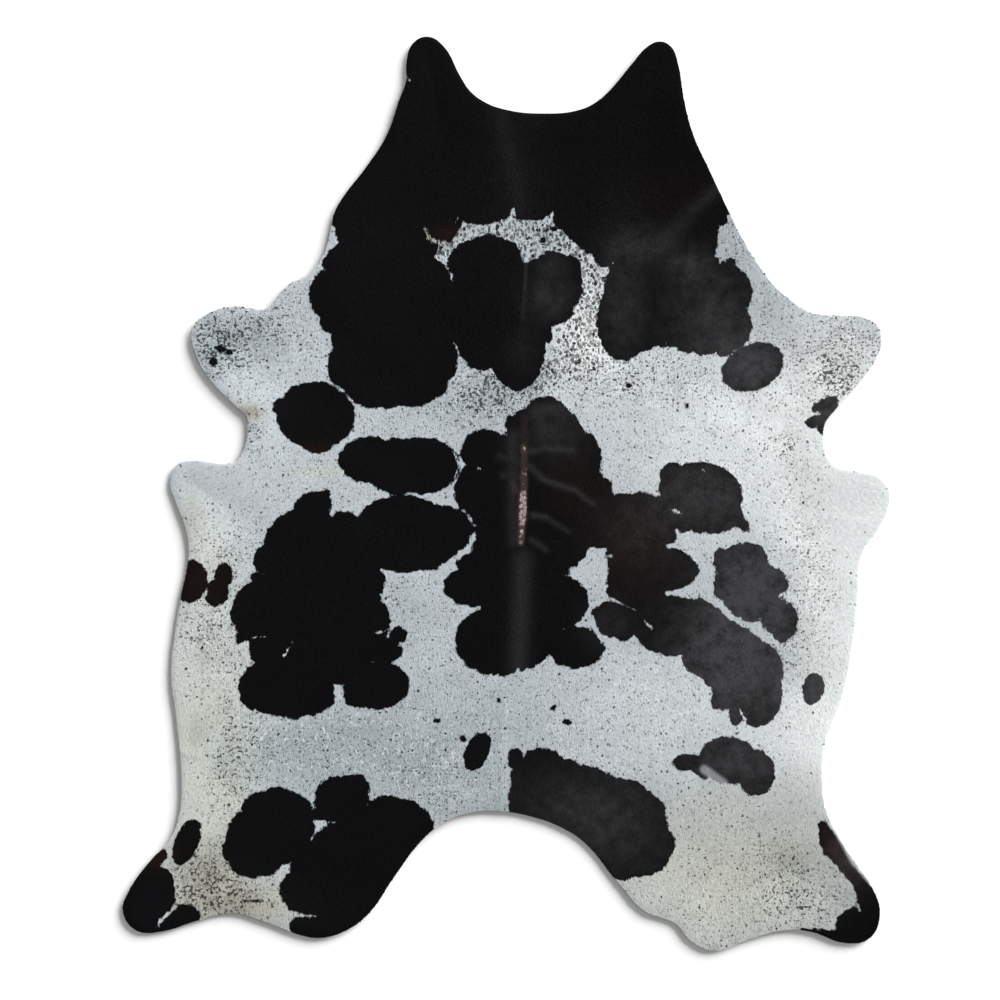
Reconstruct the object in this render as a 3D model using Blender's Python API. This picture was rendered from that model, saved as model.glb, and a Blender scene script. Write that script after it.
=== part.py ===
"""Cowhide rug: one whole hide with the hair on, lying flat, hair side up.

Metres, +Z up. The neck points to +Y and the hind legs to -Y. The origin is on the
ground, under the middle of the rug's length and width.

The hide is one flat solid, as thick as its leather and the hair that lies on it. Its
edge is a smooth closed curve through named places round the hide.
"""

from collections import namedtuple

import bpy

MM = 0.001

# Thickness, in mm, and how far the cut edge is rounded over.
LEATHER_THICKNESS = 2.0
LYING_HAIR_DEPTH = 3.5
EDGE_ROUNDING = 1.6

# Steps of the curve between two places on the edge, and of the rounding over it.
STEPS_BETWEEN_PLACES = 5
STEPS_OVER_ROUNDING = 1

HAIR_COLOUR = (0.60, 0.63, 0.64, 1.0)
HAIR_ROUGHNESS = 0.6

# The edge of the hide, clockwise from above, stretch by stretch. Each row is one place on
# it, in mm from the middle of the hide: x to the right and y towards the neck.
Place = namedtuple("Place", "x_mm y_mm")

NECK_LEFT_LOBE = [
    Place(-195, 1141),
    Place(-156, 1118),
    Place(-113, 1041),
    Place(-88, 1004),
    Place(-55, 979),
]
NECK_HOLLOW = [
    Place(-10, 961),
    Place(97, 949),
    Place(187, 959),
    Place(228, 979),
]
NECK_RIGHT_LOBE = [
    Place(258, 1005),
    Place(317, 1075),
    Place(355, 1117),
    Place(385, 1129),
    Place(413, 1116),
    Place(430, 1074),
]
RIGHT_SHOULDER = [
    Place(444, 987),
    Place(468, 896),
    Place(507, 811),
    Place(574, 671),
    Place(630, 574),
    Place(692, 500),
    Place(762, 454),
]
RIGHT_FORELEG = [
    Place(833, 446),
    Place(900, 439),
    Place(927, 421),
    Place(938, 384),
    Place(925, 336),
    Place(882, 279),
    Place(822, 209),
    Place(795, 171),
]
RIGHT_ELBOW_NOTCH = [
    Place(794, 129),
    Place(804, 89),
    Place(825, 69),
]
RIGHT_FLANK = [
    Place(889, 55),
    Place(925, 45),
    Place(950, 21),
    Place(959, -16),
    Place(935, -81),
    Place(889, -149),
    Place(879, -241),
    Place(863, -396),
    Place(835, -521),
    Place(797, -621),
    Place(789, -704),
]
RIGHT_HIND_LEG = [
    Place(798, -786),
    Place(839, -869),
    Place(880, -931),
    Place(918, -990),
    Place(934, -1051),
    Place(907, -1111),
    Place(848, -1122),
    Place(764, -1094),
    Place(697, -1089),
    Place(597, -1116),
    Place(515, -1141),
    Place(462, -1118),
    Place(422, -1073),
    Place(390, -1060),
    Place(350, -1046),
]
TAIL_HOLLOW = [
    Place(282, -974),
    Place(200, -874),
    Place(150, -839),
    Place(60, -805),
    Place(-20, -793),
    Place(-102, -799),
    Place(-155, -821),
    Place(-210, -866),
]
LEFT_HIND_LEG = [
    Place(-280, -959),
    Place(-340, -1046),
    Place(-394, -1088),
    Place(-462, -1109),
    Place(-517, -1101),
    Place(-600, -1071),
    Place(-685, -1048),
    Place(-770, -1066),
    Place(-865, -1094),
    Place(-922, -1091),
    Place(-956, -1042),
    Place(-945, -1001),
    Place(-880, -909),
    Place(-843, -871),
]
LEFT_FLANK = [
    Place(-815, -804),
    Place(-810, -704),
    Place(-822, -571),
    Place(-835, -446),
    Place(-812, -264),
    Place(-792, -156),
    Place(-798, -96),
    Place(-824, -24),
    Place(-839, 26),
    Place(-822, 72),
    Place(-780, 84),
]
LEFT_ELBOW_NOTCH = [
    Place(-722, 77),
    Place(-677, 79),
    Place(-659, 98),
    Place(-644, 161),
]
LEFT_FORELEG = [
    Place(-649, 194),
    Place(-668, 211),
    Place(-752, 301),
    Place(-775, 346),
    Place(-786, 389),
    Place(-778, 421),
    Place(-731, 455),
    Place(-674, 470),
    Place(-604, 461),
]
LEFT_SHOULDER = [
    Place(-587, 469),
    Place(-567, 495),
    Place(-540, 524),
    Place(-491, 549),
    Place(-456, 594),
    Place(-436, 660),
    Place(-428, 700),
    Place(-407, 739),
    Place(-347, 817),
    Place(-296, 897),
    Place(-267, 979),
    Place(-248, 1034),
    Place(-248, 1076),
    Place(-232, 1124),
]

EDGE = (
    NECK_LEFT_LOBE + NECK_HOLLOW + NECK_RIGHT_LOBE + RIGHT_SHOULDER + RIGHT_FORELEG
    + RIGHT_ELBOW_NOTCH + RIGHT_FLANK + RIGHT_HIND_LEG + TAIL_HOLLOW + LEFT_HIND_LEG
    + LEFT_FLANK + LEFT_ELBOW_NOTCH + LEFT_FORELEG + LEFT_SHOULDER
)


def remove_objects():
    """Start from an empty scene."""
    for thing in list(bpy.data.objects):
        bpy.data.objects.remove(thing, do_unlink=True)


def new_collection(name):
    """A collection under the scene's own."""
    collection = bpy.data.collections.new(name)
    bpy.context.scene.collection.children.link(collection)
    return collection


def hair_material():
    """Short glossy cattle hair, in the colour of the hide's ground."""
    material = bpy.data.materials.new("cattle_hair")
    material.use_nodes = True
    shader = material.node_tree.nodes["Principled BSDF"]
    shader.inputs["Base Color"].default_value = HAIR_COLOUR
    shader.inputs["Roughness"].default_value = HAIR_ROUGHNESS
    shader.inputs["Metallic"].default_value = 0.0
    return material


def edge_curve(name, places, thickness, rounding):
    """A filled flat curve through the places, with its edge rounded over.

    The rounding would grow the outline by its own radius, so the curve is first drawn in
    by as much.
    """
    curve = bpy.data.curves.new(name, "CURVE")
    curve.dimensions = "2D"
    curve.fill_mode = "BOTH"
    curve.resolution_u = STEPS_BETWEEN_PLACES
    curve.extrude = thickness / 2 - rounding
    curve.bevel_depth = rounding
    curve.bevel_resolution = STEPS_OVER_ROUNDING
    curve.offset = -rounding

    spline = curve.splines.new("BEZIER")
    spline.use_cyclic_u = True
    spline.bezier_points.add(len(places) - 1)
    for point, place in zip(spline.bezier_points, places):
        point.co = (place.x_mm * MM, place.y_mm * MM, 0.0)
        point.handle_left_type = "AUTO"
        point.handle_right_type = "AUTO"
    return curve


def stand_on_origin(thing):
    """Move the object so that the origin is under the middle of its bounding box."""
    bpy.context.view_layer.update()
    evaluated = thing.evaluated_get(bpy.context.evaluated_depsgraph_get())
    mesh = evaluated.to_mesh()
    corners = [vertex.co.copy() for vertex in mesh.vertices]
    evaluated.to_mesh_clear()

    xs = [corner.x for corner in corners]
    ys = [corner.y for corner in corners]
    zs = [corner.z for corner in corners]
    thing.location = (-(min(xs) + max(xs)) / 2, -(min(ys) + max(ys)) / 2, -min(zs))


def build_hide(collection):
    """The whole hide, leather and lying hair in one flat solid."""
    thickness = (LEATHER_THICKNESS + LYING_HAIR_DEPTH) * MM
    curve = edge_curve("hair_on_hide", EDGE, thickness, EDGE_ROUNDING * MM)
    curve.materials.append(hair_material())
    hide = bpy.data.objects.new("hair_on_hide", curve)
    collection.objects.link(hide)
    stand_on_origin(hide)
    return hide


remove_objects()
build_hide(new_collection("cowhide_rug"))
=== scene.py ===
"""Cowhide rug: one whole hide with the hair on, laid flat on a pale floor.

The hide is a thin sheet of leather with a coat of lying hair. The sheet follows the
frame's outline, and the coat is many small locks combed over it. Its black patches, its
net and specks, its tints, and the painted light, shade and sheen among them are worked out
from tables in millimetres, x to the right and y towards the neck. Lengths are in mm until
a mesh is made, and in metres after that.
"""

from collections import namedtuple

import bpy
import numpy as np
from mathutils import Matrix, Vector
from mathutils.geometry import delaunay_2d_cdt


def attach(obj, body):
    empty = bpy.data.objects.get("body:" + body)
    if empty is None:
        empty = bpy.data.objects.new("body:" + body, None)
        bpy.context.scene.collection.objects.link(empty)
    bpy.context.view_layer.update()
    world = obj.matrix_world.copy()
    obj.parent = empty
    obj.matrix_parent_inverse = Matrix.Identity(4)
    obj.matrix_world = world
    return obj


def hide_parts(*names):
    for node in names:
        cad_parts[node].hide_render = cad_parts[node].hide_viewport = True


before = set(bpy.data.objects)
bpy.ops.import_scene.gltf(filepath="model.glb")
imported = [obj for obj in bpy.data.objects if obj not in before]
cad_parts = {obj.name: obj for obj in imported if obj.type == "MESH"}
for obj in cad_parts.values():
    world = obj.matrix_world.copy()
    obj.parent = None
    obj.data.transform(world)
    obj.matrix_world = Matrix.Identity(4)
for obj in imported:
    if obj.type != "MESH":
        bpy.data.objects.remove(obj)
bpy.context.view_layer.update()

MM = 0.001
HIDE = "hair_on_hide"
random = np.random.default_rng(7)

# Keeps a divisor from being nothing.
TINY = 1e-6

# Heights this close are the same level of the frame's node, and points this close the same
# point of a triangulation, which is asked for the triangles inside its loops.
SAME_LEVEL_MM = 0.05
SAME_POINT_MM = 1e-4
INSIDE_LOOPS = 1

# The leather: its thickness, the fineness of its edge and two faces, how clear of the edge
# their points keep, in edge spacings, and the rounded cut edge as sections from the flesh
# side to the hair side, each so far in from the outline. The widest is the third.
LEATHER_MM = 2.0
EDGE_SPACING_MM = 7.0
HAIR_SIDE_SPACING_MM = 8.0
FLESH_SIDE_SPACING_MM = 26.0
CLEAR_OF_RING = 0.6
Section = namedtuple("Section", "inset_mm z_mm")
CUT_EDGE = [
    Section(1.2, 0.0),
    Section(0.3, 0.3),
    Section(0.0, 0.7),
    Section(0.3, 1.2),
    Section(0.9, 1.7),
    Section(2.6, LEATHER_MM),
]
WIDEST = 2

# The shares of the leather's own map across which its hair side and its flesh side lie.
MAP_SHARE_UP = 0.80
MAP_SHARE_DOWN = 0.18

# The coat: one lock of hair stands for some dozens of real hairs. Its root is a little under
# the skin, its back and tip are above it, and one that is cut short keeps a share of its
# length. At the hide's edge the tips droop, most where the edge faces the lower left.
LOCK_SPACING_MM = 2.68
LEAST_ROOT_DEPTH_MM = 0.4
ROOT_DEPTH_MM = 0.1
LOCK_LENGTH_MM = (7.5, 11.5)
LOCK_WIDTH_MM = (1.6, 2.4)
LOCK_BACK_MM = (0.3, 0.5)
LOCK_TIP_MM = (0.9, 1.5)
LOCK_ROLL = 0.04
LOCK_SWAY_DEG = 8.0
WIDEST_AT = 0.42
LOCK_OVERHANG_MM = 1.5
SHORTEST_CUT = 0.25
EDGE_DROOP_MM = (0.5, 2.8)
EDGE_DROOP_WAY = (-0.71, -0.70)
EDGE_DROOP_REACH_MM = 4.5

# How far a lock's colour changes along it, between the one colour of its middle, at 0, and
# that of each place it covers, at 1. Its hairs are rooted some way apart along it.
COLOUR_RUN = 0.85

# Where the coat is parted into strips, as shares of the locks from left to right.
STRIP_SHARES = (0.0, 0.228, 0.41, 0.59, 0.772, 1.0)

# ---------------------------------------------------------------- the hide's markings

ENDS = "x1_mm y1_mm x2_mm y2_mm "
Lobe = namedtuple("Lobe", "x_mm y_mm along across turn", defaults=[0])
Stroke = namedtuple("Stroke", ENDS + "half_width_1 half_width_2 amount", defaults=[1.0])
Spot = namedtuple("Spot", "x_mm y_mm radius_x radius_y amount")
Crease = namedtuple("Crease", ENDS + "half_width height_mm sheen")
Comb = namedtuple("Comb", "x_mm y_mm radius lean")
Wave = namedtuple("Wave", "length_mm heading_deg height_mm")


def table(kind, rows):
    """Rows of one kind, each from its numbers."""
    return [kind(*row) for row in rows]


# Black patches, each made of overlapping round lobes: the middle, the half sizes along and
# across, and the turn of the first from the x axis, in degrees, where there is one.
PATCHES = table(Lobe, [
    # The neck.
    (35, 1084, 650, 400),
    (485, 859, 150, 185),
    (-265, 784, 188, 150),
    (-364, 700, 80, 62),
    (-227, 696, 103, 85),
    (-65, 718, 72, 46),
    (528, 700, 34, 20, -55),
    (560, 576, 12, 9),
    (243, 580, 22, 13, -10),
    # The left shoulder.
    (-295, 654, 130, 138),
    (-379, 574, 78, 52),
    (-375, 496, 117, 88),
    (-298, 391, 138, 100),
    (-322, 319, 124, 104),
    (-296, 240, 34, 28),
    (-238, 322, 97, 104),
    (-195, 339, 73, 80),
    (-240, 459, 125, 150),
    (-124, 398, 12, 24),
    (-437, 425, 27, 25),
    (-175, 275, 30, 34),
    # The middle of the neck's root.
    (-89, 580, 55, 51),
    (-42, 514, 96, 133),
    (-126, 566, 18, 24),
    (-10, 590, 45, 45),
    (112, 521, 78, 85),
    (153, 562, 34, 32),
    (118, 462, 50, 40),
    (27, 368, 70, 110),
    (-60, 407, 68, 98),
    (48, 459, 75, 70),
    (45, 552, 18, 26),
    (102, 402, 11, 25, 15),
    # The right shoulder, and the spot beside it.
    (290, 724, 156, 148),
    (396, 506, 150, 138),
    (292, 431, 65, 98),
    (335, 441, 60, 86),
    (398, 484, 113, 118),
    (496, 471, 102, 123),
    (548, 421, 65, 68),
    (535, 512, 80, 66, -20),
    (415, 664, 114, 188),
    (616, 316, 80, 56, 24),
    (448, 372, 30, 18, -12),
    (546, 354, 22, 11),
    # The spot at the right elbow.
    (796, 222, 35, 15, 22),
    (805, 209, 32, 18, 60),
    (774, 182, 26, 15, 15),
    (786, 164, 9, 14),
    # The two spots on the left ribs.
    (-475, 196, 97, 83),
    (-514, 219, 46, 52),
    (-550, 219, 33, 22, 20),
    (-472, 139, 48, 37),
    (-343, 84, 74, 57),
    (-213, 70, 98, 70),
    (-272, 68, 76, 70),
    # The spine.
    (98, 165, 65, 78),
    (132, 160, 52, 52),
    (193, 118, 36, 33),
    (238, 14, 24, 28),
    (12, 168, 14, 28),
    (58, 154, 56, 60),
    (138, 140, 60, 52),
    (-52, 104, 61, 55),
    (180, 89, 58, 56),
    (167, 4, 92, 68),
    (-57, 6, 68, 86),
    (-69, 8, 60, 60),
    (48, 34, 110, 120),
    (-72, -231, 85, 51),
    (-46, -172, 76, 58),
    (-3, -129, 80, 100),
    (-18, -368, 110, 86),
    (42, -387, 63, 49),
    (97, -356, 50, 50),
    (117, -270, 88, 72),
    (109, -106, 104, 88),
    (174, -385, 71, 51),
    (35, -266, 100, 110),
    # The left flank.
    (-482, -35, 50, 39, 20),
    (-457, -9, 20, 14, 50),
    (-484, -134, 122, 102),
    (-577, -166, 54, 44),
    (-620, -210, 18, 14),
    (-427, -154, 120, 110),
    (-260, -100, 122, 96),
    (-172, -102, 94, 74),
    (-198, -160, 44, 32),
    (-575, -296, 112, 90),
    (-558, -482, 110, 75),
    (-628, -500, 38, 40),
    (-531, -524, 36, 39),
    (-492, -490, 62, 64),
    (-590, -386, 52, 48),
    (-465, -379, 145, 100),
    (-415, -440, 34, 38),
    (-388, -318, 98, 78),
    (-341, -274, 31, 30),
    (-407, -236, 100, 42),
    (-321, -478, 78, 59),
    (-362, -488, 43, 45),
    (-270, -354, 22, 20),
    (-312, -392, 53, 34),
    (-490, -266, 130, 150),
    (-318, -212, 16, 18),
    (-660, -358, 16, 14),
    (-376, -505, 29, 28),
    (-450, -508, 22, 28),
    # The right loin, out to the flank.
    (237, -64, 63, 72),
    (333, -74, 93, 76),
    (373, -192, 107, 54),
    (415, -168, 48, 30),
    (322, -231, 70, 71),
    (285, -200, 32, 30),
    (328, -154, 79, 62),
    (296, -14, 40, 14),
    (445, -72, 30, 24),
    (402, -104, 23, 24),
    (483, -7, 106, 85),
    (506, -51, 84, 48),
    (585, -70, 27, 14, -50),
    (405, -41, 38, 43),
    (418, 41, 34, 36),
    (420, -330, 103, 75),
    (498, -403, 60, 54),
    (568, -420, 152, 86, -50),
    (629, -440, 62, 70),
    (485, -304, 55, 48),
    (626, -501, 62, 81),
    (545, -499, 30, 43),
    (533, -522, 20, 17),
    (575, -546, 18, 31),
    (360, -291, 55, 55),
    (266, -314, 58, 44),
    (292, -335, 30, 32),
    # The spots on the right flank and above the right hind leg.
    (590, -197, 65, 73),
    (616, -172, 36, 45),
    (553, -171, 35, 29),
    (648, -229, 55, 50),
    (683, -317, 45, 54),
    (538, -150, 17, 13),
    (612, -293, 34, 27),
    (590, -246, 76, 62, -35),
    (766, -488, 38, 26, 80),
    (552, -658, 70, 49),
    (568, -688, 68, 38),
    (625, -698, 45, 57),
    (445, -671, 28, 19),
    (484, -682, 36, 20, -52),
    # The tail's root, and the small spot left of it.
    (87, -714, 76, 78),
    (62, -766, 55, 100),
    (24, -663, 20, 27),
    (188, -798, 125, 118),
    (160, -690, 34, 24, -30),
    (288, -835, 104, 123),
    (378, -850, 28, 60),
    (372, -800, 27, 38),
    (386, -872, 36, 33),
    (335, -882, 80, 75),
    (298, -904, 55, 60),
    (-73, -644, 50, 28, 65),
    # The left hind leg, its foot, and the spots along the left edge.
    (-601, -864, 99, 90),
    (-690, -890, 20, 28),
    (-638, -893, 62, 66),
    (-606, -792, 54, 48),
    (-548, -806, 66, 62),
    (-510, -836, 32, 40),
    (-466, -800, 26, 15),
    (-570, -800, 60, 66),
    (-508, -878, 22, 30),
    (-410, -764, 68, 60),
    (-377, -736, 35, 33),
    (-422, -788, 55, 33),
    (-390, -801, 40, 30),
    (-274, -846, 95, 85),
    (-300, -800, 60, 44),
    (-315, -804, 45, 42),
    (-378, -916, 125, 105),
    (-453, -979, 113, 95),
    (-385, -1029, 113, 100),
    (-480, -1077, 60, 27),
    (-440, -1085, 100, 28),
    (-303, -941, 110, 90),
    (-892, -1000, 66, 66),
    (-875, -975, 46, 46),
    (-925, -1050, 60, 60),
    (-930, -985, 60, 60),
    (-870, -912, 30, 14, 45),
    (-811, -1056, 48, 30, 5),
    (-835, -1082, 30, 20),
    (-872, -1092, 16, 12),
    (-797, -869, 59, 29, 68),
    (-790, -218, 45, 53),
    (-706, -205, 22, 29),
    (-720, -244, 27, 31),
    (-728, -258, 20, 22),
    # The right hind foot.
    (876, -1083, 54, 49),
    # Large single dots, and a clump of them on the left foreleg.
    (153, -571, 9, 6),
    (118, -536, 6, 6),
    (-108, -614, 9, 7),
    (304, 270, 7, 5),
    (453, 219, 4, 4),
    (-173, -566, 5, 4),
    (-18, -516, 5, 4),
    (-670, -369, 5, 5),
    (118, 662, 8, 6),
    (100, 658, 7, 5),
    (92, 632, 7, 5),
    (-731, 328, 7, 12),
    (-712, 362, 14, 8, -20),
    (-694, 352, 9, 6),
])

# Black bands along the right hind leg's edge, a dash on the left leg, and joins that fill
# the patches out.
BLACK_BANDS = table(Stroke, [
    (792, -830, 800, -856, 12, 20),
    (800, -856, 815, -884, 20, 25),
    (815, -884, 836, -910, 25, 20),
    (836, -910, 870, -955, 19, 16),
    (870, -955, 888, -978, 16, 19),
    (888, -978, 906, -1045, 19, 28),
    (740, -1090, 840, -1108, 5, 16),
    (-653, -1016, -610, -1019, 2, 1.5),
    (128, -194, 150, -194, 12, 7),
    (140, -186, 174, -175, 8, 5),
    (925, -985, 938, -1060, 14, 20),
    (125, 686, 181, 630, 11, 10),
    (-143, 636, -113, 686, 8, 7),
])

# White slits and nicks that run into the black or between two patches, and small white
# spots in it.
WHITE_SLITS = table(Stroke, [
    (-135, -24, -100, -49, 2, 2),
    (-100, -49, -75, -89, 2, 3),
    (-75, -89, -96, -140, 3, 10),
    (-92, -132, -154, -186, 7, 10),
    (-132, 105, -118, 75, 3, 6),
    (-6, 160, -1, 142, 6, 1),
    (-118, 69, -135, 24, 2.5, 2.5),
    (-555, -406, -533, -371, 3, 1),
    (250, -257, 322, -291, 3.2, 2.2),
    (415, -41, 435, -49, 6, 4),
    (404, -249, 470, -250, 4, 15),
    (374, 22, 380, -2, 6, 3),
    (585, -541, 595, -564, 2, 4),
    (345, -319, 365, -336, 3.5, 3),
    (757, 206, 778, 204, 2, 1),
    (-528, -1050, -475, -1055, 7, 1.5),
    (248, -156, 278, -156, 3, 1),
    (118, -430, 110, -406, 8, 2),
    (26, -453, 30, -441, 9, 5),
    (-325, -349, -295, -341, 3, 3),
    (-290, -371, -263, -379, 1, 2),
    (-437, 650, -425, 628, 7, 8),
    (-255, 1036, -238, 1031, 6, 2),
    (10, 674, 19, 714, 16, 2),
    (105, 679, 118, 706, 12, 2),
    (243, 540, 258, 560, 5, 1),
    (550, 609, 533, 576, 12, 2),
    (-452, 284, -408, 257, 5, 4),
    (-408, 256, -385, 231, 3, 4),
    (490, -256, 532, -274, 9, 11),
    (532, -274, 563, -308, 11, 8),
    (563, -308, 597, -329, 8, 7),
    (597, -329, 640, -346, 7, 13),
    (640, -346, 668, -368, 13, 9),
    (668, -368, 692, -396, 9, 12),
    (-575, -965, -555, -940, 14, 13),
    (-555, -940, -538, -921, 12, 3),
    (-204, 664, -192, 638, 3, 6),
    (-192, 638, -166, 624, 6, 7),
    (712, -241, 684, -254, 9, 5),
    (718, -262, 702, -270, 8, 5),
    (-823, -1029, -852, -1056, 4, 6),
    (-852, -1056, -864, -1070, 6, 5),
    (866, -1005, 884, -1042, 8, 2),
    (180, -326, 210, -309, 3, 9),
    (208, -312, 240, -368, 10, 7),
    (-137, 548, -136, 530, 4, 1),
    (50, 584, 92, 602, 8, 4),
    (43, -641, 43, -661, 4, 1),
    (403, 359, 400, 379, 6, 1),
    (-633, -359, -600, -357, 1.5, 1),
    (-437, -56, -428, -24, 5, 10),
    (611, 477, 606, 450, 5, 5),
    (-68, 64, -53, 59, 2, 2),
    (490, 59, 495, 57, 2.5, 2.5),
])

# Where the black breaks up into a net of small blots round the neck's middle patch.
NET_BANDS = table(Stroke, [
    (-210, 655, -160, 655, 10, 16),
    (-173, 609, -103, 664, 30, 32),
    (-103, 664, 35, 664, 32, 48),
    (35, 664, 148, 634, 48, 36),
    (148, 634, 215, 546, 30, 32),
    (215, 546, 210, 434, 32, 42),
    (210, 434, 170, 345, 52, 58),
    (170, 345, 60, 265, 46, 24),
    (60, 265, -40, 285, 18, 18),
    (47, 609, 60, 579, 24, 28),
])

# How thickly dark specks are strewn, added to or taken from an even sprinkling.
EVEN_SPECKS = 0.30
SPECKS = table(Spot, [
    (-718, 346, 44, 34, 0.80),
    (-700, 400, 70, 45, 0.35),
    (-678, 429, 90, 25, 0.25),
    (-553, 396, 70, 70, 0.25),
    (-628, 159, 16, 40, 0.45),
    (830, 289, 34, 32, 0.75),
    (785, 334, 80, 60, 0.35),
    (860, 396, 60, 40, 0.25),
    (703, 116, 20, 20, 0.50),
    (573, 634, 25, 60, 0.25),
    (648, 434, 40, 60, 0.20),
    (-703, -166, 60, 90, 0.25),
    (-728, -366, 60, 90, 0.35),
    (-665, -604, 40, 40, 0.20),
    (748, -216, 60, 120, 0.28),
    (698, -391, 25, 70, 0.30),
    (-753, -966, 60, 60, 0.66),
    (-690, -1000, 70, 40, 0.42),
    (-693, -690, 40, 95, 0.42),
    (723, -1016, 80, 60, 0.45),
    (685, -916, 60, 40, 0.25),
    (-15, 246, 60, 30, 0.45),
    (-90, 240, 70, 55, 0.50),
    (255, 295, 120, 55, 0.46),
    (485, 284, 60, 30, 0.20),
    (-278, -266, 30, 50, 0.15),
    (-190, -716, 60, 60, 0.20),
    (-500, -650, 110, 60, 0.15),
    (-753, 9, 70, 55, -0.22),
    (885, -29, 60, 70, -0.40),
    (800, -560, 40, 60, -0.15),
    (845, -300, 30, 200, -0.22),
    (-795, -630, 50, 130, -0.30),
    (760, -741, 40, 90, -0.25),
])

# The ground's tints: warm cream; whiter hair in the net, and painted light over the right side,
# which is lit more; and greyer and dusky hair, with painted shade over the left and lower side.
CREAM = table(Spot, [
    (-753, -616, 90, 200, 0.9),
    (-665, -700, 60, 90, 0.5),
    (555, -965, 230, 160, 0.85),
    (798, -516, 60, 200, 0.5),
    (-465, 54, 70, 12, 0.5),
    (-653, 214, 22, 22, 0.5),
    (-753, -166, 60, 90, 0.5),
])
# Whiter hair in the net, and painted light: the right side made whiter, as if lit more.
WHITE_AND_PAINTED_LIGHT = table(Spot, [
    (635, 159, 230, 200, 0.9),
    (870, -60, 110, 150, 1.0),
    (850, -320, 90, 240, 0.85),
    (430, -520, 190, 110, 0.35),
    (760, -610, 90, 80, 0.8),
    (240, 320, 110, 70, 0.3),
    (850, 350, 90, 110, 0.6),
    (195, 430, 60, 110, 0.8),
    (40, 660, 130, 35, 0.15),
])
# Grey hair, and painted shade: the left and lower side made darker.
GREY_AND_PAINTED_SHADE = table(Spot, [
    (-515, -666, 130, 80, 1.0),
    (-300, -640, 120, 100, 0.9),
    (-60, -730, 110, 60, 0.9),
    (-30, -570, 120, 90, 0.5),
    (-245, -310, 60, 70, 0.4),
    (-120, 215, 110, 40, 0.4),
    (-710, 358, 42, 36, 0.7),
    (-700, 400, 80, 60, 0.3),
    (-570, 390, 60, 60, 0.2),
    (-60, -785, 90, 25, 1.0),
    (90, 640, 30, 20, 0.5),
    (-745, -620, 50, 110, 0.3),
])
# Dusky hair and smudges, and painted shade at the hind legs, the left edge and a fold.
DUSKY_AND_PAINTED_SHADE = table(Spot, [
    (-740, -940, 80, 70, 0.9),
    (-640, -1030, 130, 45, 0.9),
    (-785, -50, 22, 60, 0.5),
    (-772, -600, 16, 40, 0.5),
    (700, -905, 55, 26, 0.45),
    (-640, 203, 22, 14, 1.2),
    (-190, 650, 30, 26, 1.3),
])

# Where healed scratches show as pale curls.
SCARS = table(Spot, [
    (-515, -610, 120, 80, 0.8),
    (-200, -660, 140, 90, 0.65),
    (350, -480, 170, 80, 0.6),
    (250, -620, 120, 60, 0.5),
    (560, 120, 150, 120, 0.3),
    (-90, 240, 70, 50, 0.8),
    (100, 655, 60, 30, 1.0),
])

# The black's tints: painted sheen, a lighter charcoal that stands in for light caught by the
# hair, most on the right side; and rust brown.
PAINTED_SHEEN_SPOTS = table(Spot, [
    (520, 450, 80, 90, 0.45),
    (455, 571, 35, 26, 0.35),
    (340, 620, 60, 30, 0.30),
    (290, 480, 40, 120, 0.30),
    (110, 490, 40, 35, 0.35),
    (115, 570, 26, 24, 0.25),
    (45, 360, 30, 40, 0.12),
    (618, 316, 80, 60, 0.85),
    (800, 200, 50, 50, 0.8),
    (500, 0, 90, 60, 0.6),
    (335, -90, 80, 80, 0.18),
    (575, -430, 110, 100, 1.0),
    (623, -230, 80, 90, 1.0),
    (768, -487, 50, 50, 1.2),
    (590, -680, 90, 60, 0.6),
    (235, -816, 140, 100, 0.35),
    (130, 155, 60, 50, 0.25),
    (250, -330, 40, 40, 0.25),
    (20, 900, 60, 200, 0.06),
    (850, -915, 40, 60, 0.45),
])
RUST = table(Spot, [
    (335, -116, 80, 90, 0.5),
    (180, 30, 60, 60, 0.3),
    (-760, -219, 60, 50, 0.35),
    (838, -895, 34, 55, 1.4),
    (-865, -905, 30, 25, 0.6),
    (-485, 108, 40, 14, 0.5),
    (-150, 650, 24, 16, 0.65),
    (420, 740, 120, 60, 0.15),
])

# The fields that are sums of spots.
SPOT_FIELDS = {
    "cream": CREAM, "white_and_painted_light": WHITE_AND_PAINTED_LIGHT, "grey_and_painted_shade": GREY_AND_PAINTED_SHADE, "dusky_and_painted_shade": DUSKY_AND_PAINTED_SHADE, "scars": SCARS,
    "painted_sheen_spots": PAINTED_SHEEN_SPOTS, "rust": RUST,
}

# The spine's hair is rubbed thin along a streak, down to the pink skin.
RUBBED = table(Stroke, [
    (45, 190, 46, 122, 9, 10, 0.13),
    (44, 118, 44, 104, 8, 8, 0.72),
    (46, 102, 45, 62, 9, 9, 0.40),
    (45, 60, 44, 6, 9, 10, 0.58),
    (42, 0, 41, -65, 10, 11, 1.0),
    (40, -68, 37, -122, 9, 8, 0.80),
    (15, 28, 22, 8, 8, 9, 0.25),
])

# Where the black hair is frosted with white hairs along a patch's edge.
FROSTED = table(Stroke, [
    (822, -832, 852, -885, 9, 10, 0.9),
    (852, -885, 872, -922, 10, 10, 1.0),
    (872, -922, 912, -975, 9, 5, 0.8),
    (495, -689, 543, -724, 11, 11, 0.55),
])
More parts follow.
